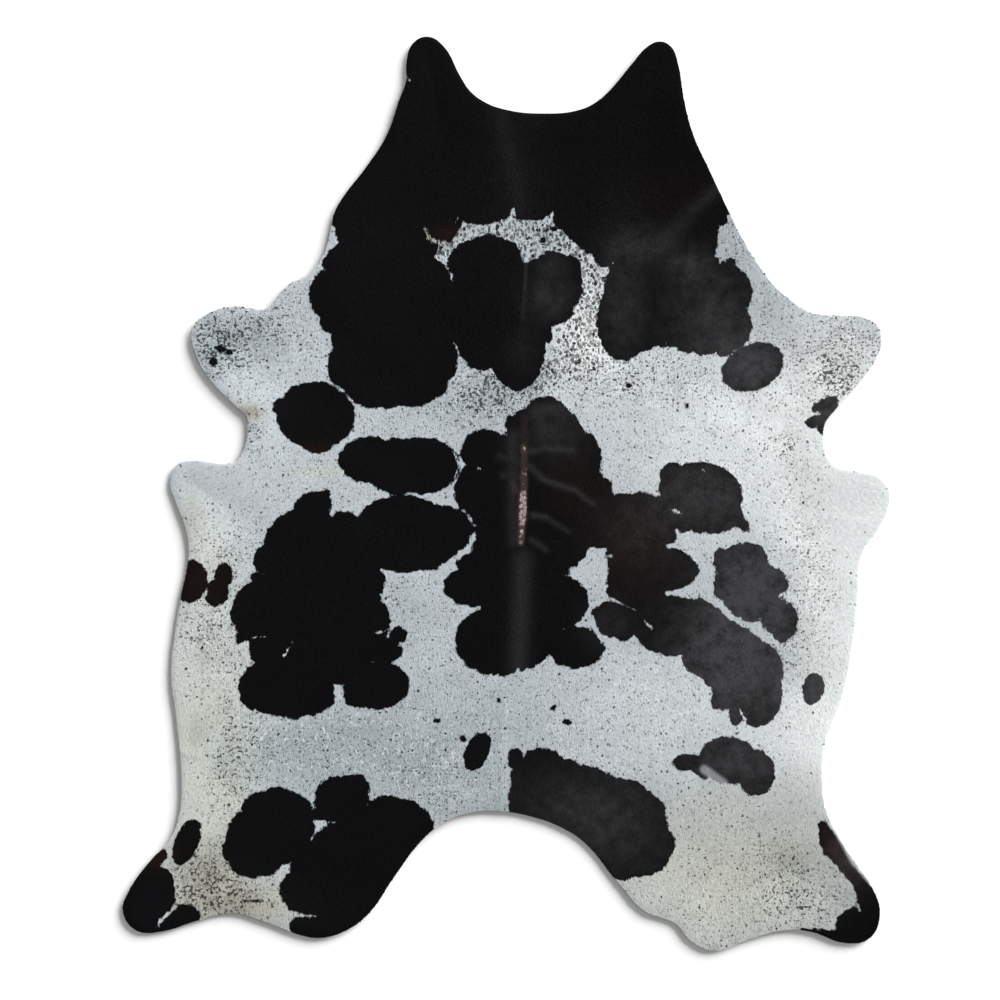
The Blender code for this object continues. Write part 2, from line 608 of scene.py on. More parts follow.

# Ridges and troughs of the leather, with a painted sheen: a paler colour on the hair over them
# that stands in for light caught on the ridges. Then its slow waves, and the lift of its edge,
# as high at most as stated and uneven by a share.
CREASES = table(Crease, [
    (15, 140, 20, -120, 18, 1.0, 0.22),
    (60, 104, 98, 111, 8, 1.0, 0.26),
    (98, 111, 165, 106, 8, 1.0, 0.24),
    (60, 66, 90, 34, 9, 1.1, 0.26),
    (90, 34, 172, 6, 8, 1.2, 0.33),
    (172, 6, 215, -26, 7, 0.9, 0.26),
    (65, -54, 100, -61, 8, 1.0, 0.33),
    (100, -61, 155, -96, 7, 0.9, 0.24),
    (62, -116, 98, -141, 8, 0.8, 0.24),
    (-15, 91, 30, 76, 11, 0.9, 0.22),
    (-8, 44, 35, 39, 9, 0.9, 0.26),
    (72, 204, 135, 214, 18, 0.6, 0.24),
    (85, 184, 90, 121, 14, 0.6, 0.12),
    (40, -166, 30, -430, 25, 1.2, 0.27),
    (50, 589, 46, 510, 5, 0.9, 0.24),
    (46, 510, 40, 434, 6, 0.6, 0.15),
    (-15, 934, 35, 710, 24, 0.9, 0.08),
    (398, 634, 460, 700, 22, 0.9, 0.16),
    (460, 700, 523, 759, 16, 0.9, 0.22),
    (-5, -490, -12, -790, 16, 1.2, 0.0),
    (-835, -640, -770, -655, 9, 0.9, 0.0),
    (-420, -60, -340, -20, 8, 0.6, 0.0),
    (790, -60, 900, -75, 10, 0.8, 0.0),
    (755, 130, 757, -60, 8, 0.6, 0.0),
    (-845, 70, -838, -70, 20, -1.0, 0.0),
])
WAVES = table(Wave, [
    (620, 20, 0.5),
    (430, 95, 0.4),
    (290, 150, 0.3),
    (170, 62, 0.2),
])
LOWEST_RISE_MM = 0.3
EDGE_LIFT_MM = 8.4
EDGE_LIFT_UNEVEN = 0.12
EDGE_LIFT_REACH_MM = 90.0
EDGE_LIFT_WAVE_MM = 95.0

# Which way the hair lies, in degrees: 0 is straight to the tail, and plus leans to the
# right. Each row counts a little everywhere.
COMBING = table(Comb, [
    (15, 900, 150, 0),
    (15, 500, 150, 0),
    (30, 100, 120, 0),
    (30, -300, 120, 0),
    (0, -700, 100, 0),
    (-180, 1000, 90, -12),
    (360, 1000, 90, 12),
    (-350, 600, 130, -25),
    (470, 700, 130, 25),
    (-700, 380, 90, -60),
    (850, 380, 90, 60),
    (-640, 150, 70, -30),
    (790, 120, 70, 30),
    (-780, 0, 80, -45),
    (900, -30, 80, 45),
    (-350, 150, 150, -15),
    (450, 100, 150, 15),
    (-350, -400, 140, -10),
    (400, -400, 140, 10),
    (-700, -400, 120, -20),
    (750, -400, 120, 20),
    (-650, -800, 100, -22),
    (680, -850, 100, 20),
    (-850, -1000, 80, -45),
    (860, -1030, 80, 45),
    (-450, -1000, 100, -12),
    (480, -1050, 100, 10),
])
LEAST_WEIGHT = 1e-4
SWIRL_LENGTH_MM = 210.0
SWIRL_DEG = 7.0


# ------------------------------------------------------------- fields over the hide


def lobe_distance(row, x, y):
    """About how far x, y lies outside the lobe, in mm.

    q is the distance from the middle in lobe sizes, and (q - 1) over the length of q's
    slope is right to first order near the edge.
    """
    turn = np.radians(row.turn)
    u = (x - row.x_mm) * np.cos(turn) + (y - row.y_mm) * np.sin(turn)
    v = (y - row.y_mm) * np.cos(turn) - (x - row.x_mm) * np.sin(turn)
    q = np.hypot(u / row.along, v / row.across) + TINY
    slope = np.hypot(u / row.along**2, v / row.across**2) / q
    return (q - 1) / np.maximum(slope, 1 / max(row.along, row.across))


def line_distance(row, x, y):
    """(distance to the row's line, share of the way along it) for each x, y."""
    run_x, run_y = row.x2_mm - row.x1_mm, row.y2_mm - row.y1_mm
    share = ((x - row.x1_mm) * run_x + (y - row.y1_mm) * run_y) / (run_x**2 + run_y**2)
    share = np.clip(share, 0, 1)
    away = np.hypot(x - row.x1_mm - share * run_x, y - row.y1_mm - share * run_y)
    return away, share


def stroke_reach(row, x, y):
    """(distance to the stroke's line, its half width there), the half width running evenly
    from the one at its start to the one at its end."""
    away, share = line_distance(row, x, y)
    return away, row.half_width_1 + share * (row.half_width_2 - row.half_width_1)


def patch_distance(x, y):
    """Signed distance to the black: the nearest lobe or band, with the slits cut out."""
    nearest = np.full(x.shape, np.inf)
    for row in PATCHES:
        nearest = np.minimum(nearest, lobe_distance(row, x, y))
    for row in BLACK_BANDS:
        away, half_width = stroke_reach(row, x, y)
        nearest = np.minimum(nearest, away - half_width)
    for row in WHITE_SLITS:
        away, half_width = stroke_reach(row, x, y)
        nearest = np.maximum(nearest, half_width - away)
    return nearest


def strokes(rows, x, y):
    """The strongest of some soft strokes, each level across its line with steep sides: its
    amount times e to the minus fourth power of the distance in half widths."""
    amount = np.zeros(x.shape)
    for row in rows:
        away, half_width = stroke_reach(row, x, y)
        amount = np.maximum(amount, row.amount * np.exp(-((away / half_width) ** 4)))
    return amount


def spots(rows, x, y, everywhere=0.0):
    """The sum of soft round spots, each a bell curve with its own two radii, and of an
    amount that is everywhere, kept between 0 and 1."""
    total = np.zeros(x.shape)
    for row in rows:
        reach = ((x - row.x_mm) / row.radius_x) ** 2 + ((y - row.y_mm) / row.radius_y) ** 2
        total += row.amount * np.exp(-reach / 2)
    return np.clip(everywhere + total, 0, 1)


def crease_bells(x, y):
    """Each crease's row, with a bell curve across its line."""
    for row in CREASES:
        away, _ = line_distance(row, x, y)
        yield row, np.exp(-((away / row.half_width) ** 2))


def crease_painted_sheen(x, y):
    """The painted sheen over the creases, standing in for light on the hair: the strongest of
    their bell curves.
    """
    sheen = np.zeros(x.shape)
    for row, bell in crease_bells(x, y):
        sheen = np.maximum(sheen, row.sheen * bell)
    return sheen


def relief(x, y, depth):
    """Height of the leather's flesh side over the floor, in mm.

    The sum of the lowest rise, the creases, long low waves, and an uneven lift that dies
    out inwards from the edge by a bell curve.
    """
    rise = np.full(x.shape, LOWEST_RISE_MM)
    for row, bell in crease_bells(x, y):
        rise += row.height_mm * bell
    for row in WAVES:
        heading = np.radians(row.heading_deg)
        way = x * np.cos(heading) + y * np.sin(heading)
        rise += row.height_mm * (1 + np.sin(2 * np.pi * way / row.length_mm))
    uneven = np.sin(x / EDGE_LIFT_WAVE_MM) * np.sin(y / EDGE_LIFT_WAVE_MM + 1)
    lift = EDGE_LIFT_MM * np.exp(-((np.maximum(depth, 0) / EDGE_LIFT_REACH_MM) ** 2))
    return rise + (1 - EDGE_LIFT_UNEVEN + EDGE_LIFT_UNEVEN * uneven) * lift


def lean_of_hair(x, y):
    """The hair's lean from straight tailward, in radians: a mean of the combing rows
    weighted by nearness, with slow swirls on top."""
    total = np.full(x.shape, TINY)
    lean = np.zeros(x.shape)
    for row in COMBING:
        weight = np.exp(-((x - row.x_mm) ** 2 + (y - row.y_mm) ** 2) / (2 * row.radius**2))
        weight += LEAST_WEIGHT
        total += weight
        lean += weight * row.lean
    swirl = np.sin(x / SWIRL_LENGTH_MM * 2 * np.pi + 2 * np.sin(y / SWIRL_LENGTH_MM))
    swirl *= np.cos(y / SWIRL_LENGTH_MM * 2 * np.pi - 1)
    return np.radians(lean / total + SWIRL_DEG * swirl)


# ------------------------------------------------------------------ the outline


def outline_of(node):
    """The frame node's widest ring, anticlockwise from above, as rows of x, y in mm.

    The node's triangles are merged by place. Its wall stands on the widest ring, so each
    wall triangle that has an edge on it and a corner above gives one step of the ring.
    """
    mesh = node.data
    points = np.empty(len(mesh.vertices) * 3)
    mesh.vertices.foreach_get("co", points)
    points = np.round(points.reshape(-1, 3) / MM, 2)
    places, merged = np.unique(points, axis=0, return_inverse=True)
    triangles = merged.ravel()[corners_of(mesh)].reshape(-1, 3)

    level = places[np.argmax(places[:, 0]), 2]
    on_ring = np.abs(places[:, 2] - level) < SAME_LEVEL_MM
    follower = {}
    for turn in range(3):
        start, end, third = np.roll(triangles, turn, axis=1).T
        wall = on_ring[start] & on_ring[end] & (places[third, 2] > level + SAME_LEVEL_MM)
        follower.update(zip(start[wall].tolist(), end[wall].tolist()))
    ring = [next(iter(follower))]
    while follower[ring[-1]] != ring[0]:
        ring.append(follower[ring[-1]])
    return places[ring, :2]


def spaced_evenly(loop, spacing):
    """A closed loop again with points a fixed way apart along it."""
    closed = np.vstack([loop, loop[:1]])
    steps = np.linalg.norm(np.diff(closed, axis=0), axis=1)
    way = np.concatenate([[0], np.cumsum(steps)])
    count = round(way[-1] / spacing)
    stops = np.arange(count) * way[-1] / count
    return np.column_stack([np.interp(stops, way, closed[:, k]) for k in range(2)])


def drawn_in(loop, inset):
    """A loop moved inwards by inset, along the normal of the chord through each point."""
    chord = np.roll(loop, -1, axis=0) - np.roll(loop, 1, axis=0)
    chord /= np.linalg.norm(chord, axis=1)[:, None]
    return loop + inset * np.column_stack([-chord[:, 1], chord[:, 0]])


def depth_of(loop, x, y):
    """How far each x, y lies inside the loop in mm, and outside it as minus.

    The distance is the least to any side of the loop. Inside is where a line to the right
    crosses the loop an odd number of times.
    """
    ahead = np.roll(loop, -1, axis=0)
    run = ahead - loop
    nearest = np.full(x.shape, np.inf)
    crossings = np.zeros(x.shape, int)
    for (x1, y1), (run_x, run_y), (_, y2) in zip(loop, run, ahead):
        share = np.clip(((x - x1) * run_x + (y - y1) * run_y) / (run_x**2 + run_y**2), 0, 1)
        away = (x - x1 - share * run_x) ** 2 + (y - y1 - share * run_y) ** 2
        nearest = np.minimum(nearest, away)
        spans = (y1 > y) != (y2 > y)
        crossings += spans & (x < x1 + (y - y1) * run_x / (run_y or TINY))
    return np.sqrt(nearest) * np.where(crossings % 2, 1, -1)


class DepthMap:
    """The depth inside the outline on a square grid, read between its points."""

    CELL_MM = 7.0
    MARGIN_MM = 40.0

    def __init__(self, loop):
        self.low = loop.min(axis=0) - self.MARGIN_MM
        size = loop.max(axis=0) + self.MARGIN_MM - self.low
        counts = np.ceil(size / self.CELL_MM).astype(int) + 1
        xs, ys = (low + np.arange(n) * self.CELL_MM for low, n in zip(self.low, counts))
        x, y = np.meshgrid(xs, ys)
        self.depths = depth_of(loop, x.ravel(), y.ravel()).reshape(x.shape)

    def at(self, x, y):
        """Depth at each x, y, mixed from the four grid points round it."""
        column = (x - self.low[0]) / self.CELL_MM
        row = (y - self.low[1]) / self.CELL_MM
        i = np.clip(np.floor(column).astype(int), 0, self.depths.shape[1] - 2)
        j = np.clip(np.floor(row).astype(int), 0, self.depths.shape[0] - 2)
        s, t = column - i, row - j
        lower = self.depths[j, i] * (1 - s) + self.depths[j, i + 1] * s
        upper = self.depths[j + 1, i] * (1 - s) + self.depths[j + 1, i + 1] * s
        return lower * (1 - t) + upper * t

    def facing(self, way, x, y):
        """How squarely the nearest edge faces a way, from 0 to 1: the depth's fall that way
        from one cell behind to one cell ahead."""
        ahead = self.at(x + way[0] * self.CELL_MM, y + way[1] * self.CELL_MM)
        behind = self.at(x - way[0] * self.CELL_MM, y - way[1] * self.CELL_MM)
        return np.clip((behind - ahead) / (2 * self.CELL_MM), 0, 1)


# ------------------------------------------------------------------------ meshes


def corners_of(mesh):
    """The vertex at each corner of each face."""
    corners = np.empty(len(mesh.loops), int)
    mesh.loops.foreach_get("vertex_index", corners)
    return corners


def mesh_object(name, points_mm, triangles, materials):
    """A smooth mesh object of triangles, from places in mm."""
    mesh = bpy.data.meshes.new(name)
    mesh.vertices.add(len(points_mm))
    mesh.vertices.foreach_set("co", (points_mm * MM).astype(np.float32).ravel())
    mesh.loops.add(triangles.size)
    mesh.loops.foreach_set("vertex_index", triangles.astype(np.int32).ravel())
    mesh.polygons.add(len(triangles))
    mesh.polygons.foreach_set("loop_start", np.arange(0, triangles.size, 3, dtype=np.int32))
    mesh.polygons.foreach_set("use_smooth", np.ones(len(triangles), bool))
    mesh.update(calc_edges=True)
    for material in materials:
        mesh.materials.append(material)
    thing = bpy.data.objects.new(name, mesh)
    bpy.context.scene.collection.objects.link(thing)
    return thing


def set_flat_map(thing, x, y, faces_down=None):
    """The piece's own map, which is the piece seen from above.

    Where some of its faces face down, the others take most of the map's width, and those
    that face down lie beside them, seen from below.
    """
    corners = corners_of(thing.data)
    u, v = (((k - k.min()) / (k.max() - k.min()))[corners] for k in (x, y))
    if faces_down is not None:
        u = np.where(np.repeat(faces_down, 3), 1.0 - MAP_SHARE_DOWN * u, MAP_SHARE_UP * u)
    layer = thing.data.uv_layers.new(name="OFBake")
    layer.data.foreach_set("uv", np.column_stack([u, v]).astype(np.float32).ravel())


def set_markings(thing, x, y, tone):
    """Store the fields that the hair's material reads, worked out at x, y in mm, as one
    number or one vector for each vertex."""
    fields = {
        "place": np.column_stack([x, y, np.zeros(x.shape)]) * MM,
        "patch": patch_distance(x, y),
        "specks": spots(SPECKS, x, y, EVEN_SPECKS),
        "net": strokes(NET_BANDS, x, y),
        "rubbed": strokes(RUBBED, x, y),
        "frosted": strokes(FROSTED, x, y),
        # The painted sheen over the creases, a paleness standing in for light on the hair.
        "sheen": crease_painted_sheen(x, y),
        "tone": tone,
    }
    for name, rows in SPOT_FIELDS.items():
        fields[name] = spots(rows, x, y)
    for name, values in fields.items():
        kind, member = ("FLOAT", "value") if values.ndim == 1 else ("FLOAT_VECTOR", "vector")
        field = thing.data.attributes.new(name, kind, "POINT")
        field.data.foreach_set(member, values.astype(np.float32).ravel())


def filled(ring, spacing, depths):
    """A face inside a ring: (points, triangles), the ring's points first.

    The points between are the crossings of a grid of equal triangles, kept a little way
    in from the ring, and all are joined by a constrained Delaunay triangulation.
    """
    low, high = ring.min(axis=0), ring.max(axis=0)
    rows = np.arange(low[1], high[1], spacing * np.sqrt(0.75))
    columns = np.arange(low[0], high[0], spacing)
    x, y = np.meshgrid(columns, rows)
    x[1::2] += spacing / 2
    x, y = x.ravel(), y.ravel()
    inside = depths.at(x, y) > CUT_EDGE[0].inset_mm + CLEAR_OF_RING * EDGE_SPACING_MM
    points = np.vstack([ring, np.column_stack([x, y])[inside]])
    loop = list(range(len(ring)))
    _, _, faces, origin, _, _ = delaunay_2d_cdt(
        [Vector(point) for point in points], [], [loop], INSIDE_LOOPS, SAME_POINT_MM
    )
    origin = np.array([ids[0] for ids in origin])
    return points, origin[np.array(faces)]


def wall(sections, count):
    """Triangles between rings of count points each, numbered ring after ring."""
    here = np.arange(count)
    ahead = (here + 1) % count
    bands = []
    for k in range(sections - 1):
        low, up = k * count, (k + 1) * count
        bands.append(np.column_stack([low + here, low + ahead, up + ahead]))
        bands.append(np.column_stack([low + here, up + ahead, up + here]))
    return np.vstack(bands)


def build_leather(outline, depths, materials):
    """The leather sheet: a hair side, a flesh side and the rounded cut edge between.

    The materials are those of the hair, the flesh side and the edge. The edge is haired
    from its widest section up.
    """
    loop = spaced_evenly(outline, EDGE_SPACING_MM)
    count = len(loop)
    sections = len(CUT_EDGE)
    rings = [drawn_in(loop, section.inset_mm) for section in CUT_EDGE]
    flesh, flesh_faces = filled(rings[0], FLESH_SIDE_SPACING_MM, depths)
    top, top_faces = filled(rings[-1], HAIR_SIDE_SPACING_MM, depths)

    # Both faces use the rings' points, and their own inner points come after the rings.
    places = np.vstack([*rings, flesh[count:], top[count:]])
    heights = np.concatenate(
        [np.full(count, section.z_mm) for section in CUT_EDGE]
        + [np.zeros(len(flesh) - count), np.full(len(top) - count, LEATHER_MM)]
    )
    last_ring = (sections - 1) * count
    top_shift = last_ring + len(flesh) - count
    flesh_faces = flesh_faces + np.where(flesh_faces < count, 0, last_ring)
    top_faces = top_faces + np.where(top_faces < count, last_ring, top_shift)
    edge_faces = wall(sections, count)
    triangles = np.vstack([top_faces, flesh_faces[:, ::-1], edge_faces])

    x, y = places.T
    z = heights + relief(x, y, depths.at(x, y))
    leather = mesh_object("hide_leather", np.column_stack([x, y, z]), triangles, materials)
    haired = (sections - 1 - WIDEST) * 2 * count
    slots = np.repeat(
        [0, 1, 2, 0], [len(top_faces), len(flesh_faces), len(edge_faces) - haired, haired]
    )
    leather.data.polygons.foreach_set("material_index", slots.astype(np.int32))
    set_markings(leather, x, y, np.full(x.shape, 0.5))
    set_flat_map(leather, x, y, faces_down=slots > 0)
    return leather


def lock_roots(depths):
    """Roots of the locks: a square grid over the hide, whose middle is the origin, with
    each point moved at random within its cell, kept where it lies on the leather."""
    low = depths.low + depths.MARGIN_MM
    columns, rows = (np.arange(k, -k, LOCK_SPACING_MM) for k in low)
    x, y = np.meshgrid(columns, rows)
    x = x.ravel() + random.uniform(0, LOCK_SPACING_MM, x.size)
    y = y.ravel() + random.uniform(0, LOCK_SPACING_MM, y.size)
    depth = depths.at(x, y)
    kept = depth > LEAST_ROOT_DEPTH_MM
    return x[kept], y[kept], depth[kept]


def build_coat(depths, hair):
    """The coat: locks of hair lying tailward, as strips nearly as long as the hide.

    A lock is a narrow kite of four corners: its root on the leather, its two shoulders at
    WIDEST_AT of its length and raised, and its tip. A lock that would stick out over the
    outline is cut short there.
    """
    x, y, depth = lock_roots(depths)
    count = len(x)
    lean = lean_of_hair(x, y) + np.radians(random.normal(0, LOCK_SWAY_DEG, count))
    way_x, way_y = np.sin(lean), -np.cos(lean)
    length = random.uniform(*LOCK_LENGTH_MM, count)
    tip_depth = depths.at(x + way_x * length, y + way_y * length)
    room = depth + LOCK_OVERHANG_MM * random.uniform(0, 1, count)
    length *= np.clip(room / np.maximum(depth - tip_depth, TINY), SHORTEST_CUT, 1)
    half_width = random.uniform(*LOCK_WIDTH_MM, count) / 2
    tip_x, tip_y = x + way_x * length, y + way_y * length
    tip_depth = depths.at(tip_x, tip_y)

    rim = CUT_EDGE[WIDEST:]
    skin_z = np.interp(depth, [row.inset_mm for row in rim], [row.z_mm for row in rim])
    root_z = skin_z - ROOT_DEPTH_MM + relief(x, y, depth)
    tip_z = LEATHER_MM + relief(tip_x, tip_y, tip_depth) + random.uniform(*LOCK_TIP_MM, count)
    least, most = EDGE_DROOP_MM
    droop = least + (most - least) * depths.facing(EDGE_DROOP_WAY, tip_x, tip_y)
    tip_z -= droop * np.exp(-np.maximum(tip_depth, 0) / EDGE_DROOP_REACH_MM)
    back_z = (root_z + tip_z) / 2 + random.uniform(*LOCK_BACK_MM, count) / 2
    roll = random.normal(0, LOCK_ROLL, count) * half_width

    back = np.column_stack([x + way_x * length * WIDEST_AT, y + way_y * length * WIDEST_AT])
    aside = np.column_stack([way_y * half_width, -way_x * half_width])
    corners = [
        np.column_stack([x, y, root_z]),
        np.column_stack([back - aside, back_z + roll]),
        np.column_stack([tip_x, tip_y, tip_z]),
        np.column_stack([back + aside, back_z - roll]),
    ]
    points = np.stack(corners, axis=1)
    tone = random.uniform(0, 1, count)
    middle = points[:, :, :2].mean(axis=1, keepdims=True)
    coloured_at = middle + COLOUR_RUN * (points[:, :, :2] - middle)

    order = np.argsort(x)
    ends = [round(share * count) for share in STRIP_SHARES]
    strips = []
    for number, (start, end) in enumerate(zip(ends, ends[1:]), 1):
        chosen = order[start:end]
        name = f"coat_strip_{number}"
        strips.append(lock_strip(name, points[chosen], coloured_at[chosen], tone[chosen], hair))
    return strips


def lock_strip(name, points, coloured_at, tone, hair):
    """One strip of the coat, from its locks' corners."""
    first = np.arange(len(points))[:, None] * 4
    triangles = np.vstack([first + [0, 3, 1], first + [1, 3, 2]])
    places = points.reshape(-1, 3)
    strip = mesh_object(name, places, triangles, [hair])
    set_markings(strip, *coloured_at.reshape(-1, 2).T, np.repeat(tone, 4))
    set_flat_map(strip, places[:, 0], places[:, 1])
    return strip


# -------------------------------------------------------------------- materials

# The noises that vary the hair. Each has its middle at 0.5 and seldom strays further from
# it than NOISE_REACH.
Noise = namedtuple("Noise", "size_mm detail roughness", defaults=[2.0, 0.5])
NOISE_REACH = 0.25
NOISES = {
    "ragged": Noise(17.0, 3.0),
    "warp": Noise(9.0),
    "clouds": Noise(34.0),
    "clumps": Noise(8.5, 1.0),
    "scar curls": Noise(34.0, 1.0),
    "scar breaks": Noise(16.0),
    "mottle": Noise(80.0, 4.0, 0.7),
    # The clouds of the black's painted sheen.
    "sheen_clouds": Noise(35.0, 5.0, 0.7),
    "skin bits": Noise(9.0),
}

# How far a patch's edge is moved by the noise and by each lock, where it fades from full
# black to none, and how far the noise moves the dots' places, so that they aren't round.
RAGGED_DEPTH_MM = 4.5
LOCK_RAG_MM = 3.5
PATCH_FADE_MM = (0.2, 3.0)
WARP_MM = (9.0, 9.0, 0.0)

# Dots round scattered points: how far apart, their radii, how dark the faintest and the
# darkest are, and how many of the points have one where they are thickest.
Dots = namedtuple("Dots", "spacing_mm smallest_mm largest_mm faintest darkest share")
SPECK_DOTS = table(Dots, [
    (18.0, 2.6, 5.2, 0.04, 0.26, 2.4),
    (13.5, 1.5, 3.3, 0.30, 0.97, 1.1),
    (9.0, 1.1, 2.5, 0.20, 0.90, 1.2),
    (6.0, 0.9, 1.8, 0.12, 0.80, 1.2),
])
NET_DOTS = table(Dots, [
    (13.5, 2.8, 5.4, 0.62, 1.0, 1.0),
    (9.5, 1.9, 3.6, 0.48, 0.95, 0.95),
    (6.5, 1.0, 2.0, 0.20, 0.70, 0.7),
])

# A dot fades from outside its radius to inside it, and the middle of a large one is lighter
# from one place inside its radius to another, in mm. The net's blots are lighter there by
# NET_HOLLOW, and are squeezed across the hair and drawn out along it.
DOT_FADE_MM = (0.5, -0.6)
HOLLOW_MM = (-3.0, -4.8)
NET_HOLLOW = 0.3
NET_SQUEEZE = (1.1, 0.8, 1.0)

# The clumps where the specks are thickest: how high a noise must be, at most and less by,
# over how much of it they fade in, and how dark they are.
CLUMP_HIGHEST = 0.80
CLUMP_REACH = 0.26
CLUMP_FADE = 0.04
CLUMP_DARKEST = 0.85

# The places of the sockets of a node that mixes colours.
MIX_FACTOR, MIX_A, MIX_B, MIX_COLOUR = 0, 6, 7, 2

# What a value becomes: from start to end it runs from low to high, and unless the node says
# otherwise it is level beyond.
Ramp = namedtuple("Ramp", "start end low high", defaults=[0.0, 1.0])

# The specks' thickness by the clouds' noise, and the power of it that is the dots' share.
CLOUD_RAMP = Ramp(0.32, 0.68, 0.7, 1.3)
SPECK_POWER = 1.5

# Scars: their paleness by how far one noise is from its middle, and where another breaks
# them.
SCAR_RAMP = Ramp(0.008, 0.034, 0.75, 0.0)
BREAK_RAMP = Ramp(0.46, 0.52)

# The white's shade, from dark to light, by the mottling and a share of a lock's tone, and
# how strong it is: what the specks' thickness is multiplied by, and what is added to that.
TONE_SHARE = 0.4
SHADE_RAMP = Ramp(0.3, 1.1, -1.0, 1.0)
SHADE_STRENGTH = (0.34, 0.02)

# The clouds of the black's painted sheen by one noise, and how bare the skin is by another one
# and a share of the rubbing.
SHEEN_CLOUD_RAMP = Ramp(0.3, 0.7, 0.3, 1.5)
RUBBED_SHARE = 0.62
BARE_RAMP = Ramp(0.93, 1.13)

# The patterns of the leather, in mm.
NAP_MM = 12.0
FIBRE_MM = 1.5
FIBRE_DEPTH_MM = 0.4
CUT_FIBRE_MM = 5.0


def linear(code):
    """A linear colour with alpha from an sRGB hex value such as 0E0E10."""
    values = [int(code[k : k + 2], 16) / 255 for k in (0, 2, 4)]
    return [v / 12.92 if v <= 0.04045 else ((v + 0.055) / 1.055) ** 2.4 for v in values] + [1.0]


def per_metre(size_mm):
    """A texture's scale on coordinates in metres, for a pattern of that size."""
    return 1 / (size_mm * MM)


def add(tree, kind, inputs=(), **settings):
    """Add a node, with its settings, and its inputs by name or in order, as values or as
    links. A node among the inputs stands for its first output."""
    made = tree.nodes.new("ShaderNode" + kind)
    for name, value in settings.items():
        setattr(made, name, value)
    for name, value in inputs.items() if isinstance(inputs, dict) else enumerate(inputs):
        if isinstance(value, bpy.types.Node):
            value = value.outputs[0]
        if isinstance(value, bpy.types.NodeSocket):
            tree.links.new(value, made.inputs[name])
        else:
            made.inputs[name].default_value = value
    return made


def new_material(name, roughness, shine):
    """A node material with an even roughness and shine: (material, tree, its shader)."""
    material = bpy.data.materials.new(name)
    material.use_nodes = True
    shader = material.node_tree.nodes["Principled BSDF"]
    shader.inputs["Roughness"].default_value = roughness
    shader.inputs["Specular IOR Level"].default_value = shine
    return material, material.node_tree, shader


def layered(tree, colour, *layers):
    """A colour with others laid over it in turn, each as far as its factor says."""
    for factor, over in layers:
        inputs = {MIX_FACTOR: factor, MIX_A: colour, MIX_B: over}
        colour = add(tree, "Mix", inputs, data_type="RGBA").outputs[MIX_COLOUR]
    return colour


def patch_share(tree, field):
    """1 in the black patches: their distance moved by a noise, and a little by each lock,
    then faded from full black to none."""
    edge = field["patch"]
    moves = {"ragged": RAGGED_DEPTH_MM / NOISE_REACH, "tone": LOCK_RAG_MM}
    for name, most in moves.items():
        edge = add(tree, "Math", [field[name], most, edge], operation="MULTIPLY_ADD")
    middle = sum(moves.values()) / 2
    full, none = PATCH_FADE_MM
    fade = Ramp(middle + none, middle + full)
    return add(tree, "MapRange", [edge, *fade], interpolation_type="SMOOTHSTEP")


def dotted(tree, place, rows, share, hollow):
    """1 in dots round scattered points, each there if its random number is below share
    times its row's.

    Its radius and darkness are random too, and its middle is lighter by hollow where it is
    large. The rows are laid over each other, the darkest on top.
    """
    darkest = 0.0
    for row in rows:
        cells = add(
            tree, "TexVoronoi", {"Vector": place, "Scale": per_metre(row.spacing_mm)},
            voronoi_dimensions="2D",
        )
        chance = add(tree, "SeparateColor", [cells.outputs["Color"]]).outputs
        there = add(tree, "Math", [share, row.share], operation="MULTIPLY")
        dot = add(tree, "Math", [there, chance[0]], operation="GREATER_THAN")
        radii = Ramp(0.0, 1.0, -row.smallest_mm, -row.largest_mm)
        radius = add(tree, "MapRange", [chance[1], *radii])
        beyond = add(tree, "Math", [cells, row.spacing_mm, radius], operation="MULTIPLY_ADD")
        for value, ramp in (
            (beyond, Ramp(*DOT_FADE_MM)),
            (beyond, Ramp(*HOLLOW_MM, 1.0, 1.0 - hollow)),
            (chance[2], Ramp(0.0, 1.0, row.faintest, row.darkest)),
        ):
            factor = add(tree, "MapRange", [value, *ramp])
            dot = add(tree, "Math", [dot, factor], operation="MULTIPLY")
        darkest = add(tree, "Math", [darkest, dot], operation="MAXIMUM")
    return darkest


def net_share(tree, field):
    """1 in the net's blots, which are drawn out the way the hair lies, and lighter in the
    middle of the larger ones."""
    place = add(tree, "VectorMath", [field["warped"], NET_SQUEEZE], operation="MULTIPLY")
    return dotted(tree, place, NET_DOTS, field["net"], NET_HOLLOW)


def speck_share(tree, field):
    """1 in the specks, which are dots that gather in clouds, and clumps at the peaks of a
    noise where they are thickest."""
    cloud = add(tree, "MapRange", [field["clouds"], *CLOUD_RAMP])
    thickness = add(tree, "Math", [cloud, field["specks"]], operation="MULTIPLY")
    share = add(tree, "Math", [thickness, SPECK_POWER], operation="POWER")
    specks = dotted(tree, field["warped"], SPECK_DOTS, share, 0.0)
    least = add(
        tree, "Math", [thickness, -CLUMP_REACH, CLUMP_HIGHEST], operation="MULTIPLY_ADD"
    )
    full = add(tree, "Math", [least, CLUMP_FADE], operation="ADD")
    clump = add(tree, "MapRange", [field["clumps"], least, full, 0.0, CLUMP_DARKEST])
    return add(tree, "Math", [specks, clump], operation="MAXIMUM")


def scar_share(tree, field):
    """The scars' paleness: the lines where one noise crosses its middle value, broken by
    another noise."""
    off_line = add(tree, "Math", [field["scar curls"], 0.5], operation="SUBTRACT")
    off_line = add(tree, "Math", [off_line], operation="ABSOLUTE")
    line = add(tree, "MapRange", [off_line, *SCAR_RAMP])
    breaks = add(tree, "MapRange", [field["scar breaks"], *BREAK_RAMP])
    for factor in (breaks, field["scars"]):
        line = add(tree, "Math", [line, factor], operation="MULTIPLY")
    return line


